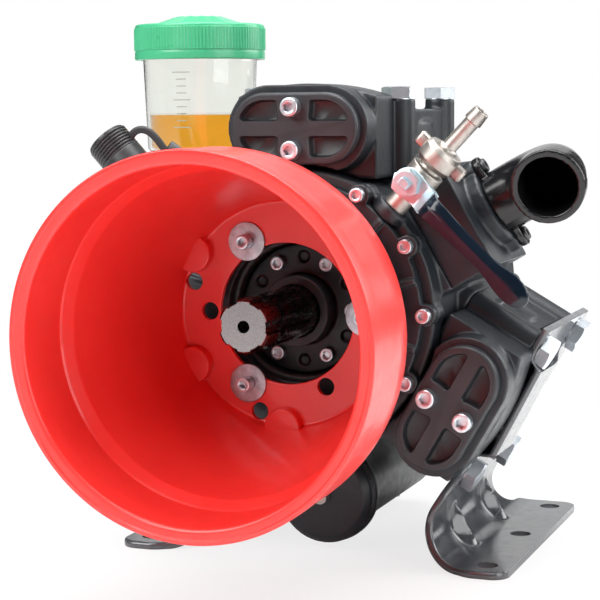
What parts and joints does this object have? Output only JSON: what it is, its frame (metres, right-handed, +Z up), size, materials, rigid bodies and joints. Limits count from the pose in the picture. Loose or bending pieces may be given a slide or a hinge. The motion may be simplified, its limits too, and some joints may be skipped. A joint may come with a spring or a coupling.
{
  "type": "three-head piston diaphragm pump",
  "caption": "Radial piston diaphragm sprayer pump on two bracket feet, with splined drive shaft in a flared guard, oil cup, suction elbow and lever ball valve.",
  "frame": {"origin": "on the floor at the centre of the pattern of the feet's mounting holes", "axes": "+Z up, the drive shaft runs along Y with its splined end towards -Y, +X towards the suction elbow"},
  "size_m": [0.3675, 0.421, 0.3807],
  "materials": {
    "black_casting": "semi-gloss black coating over die-cast aluminium",
    "black_steel": "satin black powder coat on pressed steel",
    "black_plastic": "matt black reinforced nylon",
    "zinc": "bright zinc plate",
    "nickel": "worn nickel plate on brass",
    "machined_steel": "machined steel with an oil film",
    "red_plastic": "glossy moulded red plastic",
    "green_plastic": "glossy moulded green plastic",
    "clear_plastic": "clear smoky moulded plastic",
    "oil": "amber gear oil"
  },
  "bodies": {
    "pump": {"crankcase": "black_casting", "front_cover": "black_casting", "rear_cover": "black_casting", "cover_screws": "zinc", "rear_cover_screws": "zinc", "seal_flange": "black_casting", "seal_screws": "zinc", "pto_shield": "red_plastic", "shield_screws": "zinc", "head_top": "black_casting", "head_right": "black_casting", "head_left": "black_casting", "valve_cover_top": "black_casting", "valve_cover_right": "black_casting", "valve_cover_left": "black_casting", "valve_screws_top": "zinc", "valve_screws_right": "zinc", "valve_screws_left": "zinc", "head_bolts_top": "zinc", "foot_bolts_right": "zinc", "foot_bolts_left": "zinc", "foot_right": "black_steel", "foot_left": "black_steel", "suction_manifold": "black_casting", "suction_elbow": "black_plastic", "elbow_screws": "zinc", "delivery_manifold": "black_casting", "threaded_outlet": "black_plastic", "ball_valve_body": "nickel", "wing_nut": "nickel", "hose_barb": "nickel", "reservoir_stand": "black_casting", "reservoir_cup": "clear_plastic", "oil": "oil", "reservoir_cap": "green_plastic", "air_chamber": "black_casting", "air_chamber_cap": "black_casting", "inflation_valve": "nickel", "drain_plug": "zinc"},
    "shaft": {"pto_shaft": "machined_steel"},
    "lever": {"valve_lever": "black_steel", "lever_nut": "nickel"}
  },
  "joints": [
    {"name": "shaft_turn", "type": "hinge", "parent": "pump", "child": "shaft", "pos_m": [0, -0.106, 0.177], "axis": [0, -1, 0], "continuous": true},
    {"name": "valve_lever_turn", "type": "hinge", "parent": "pump", "child": "lever", "pos_m": [0.0826, -0.1353, 0.26404], "axis": [0, -1, 0], "range_deg": [0, 90]}
  ]
}
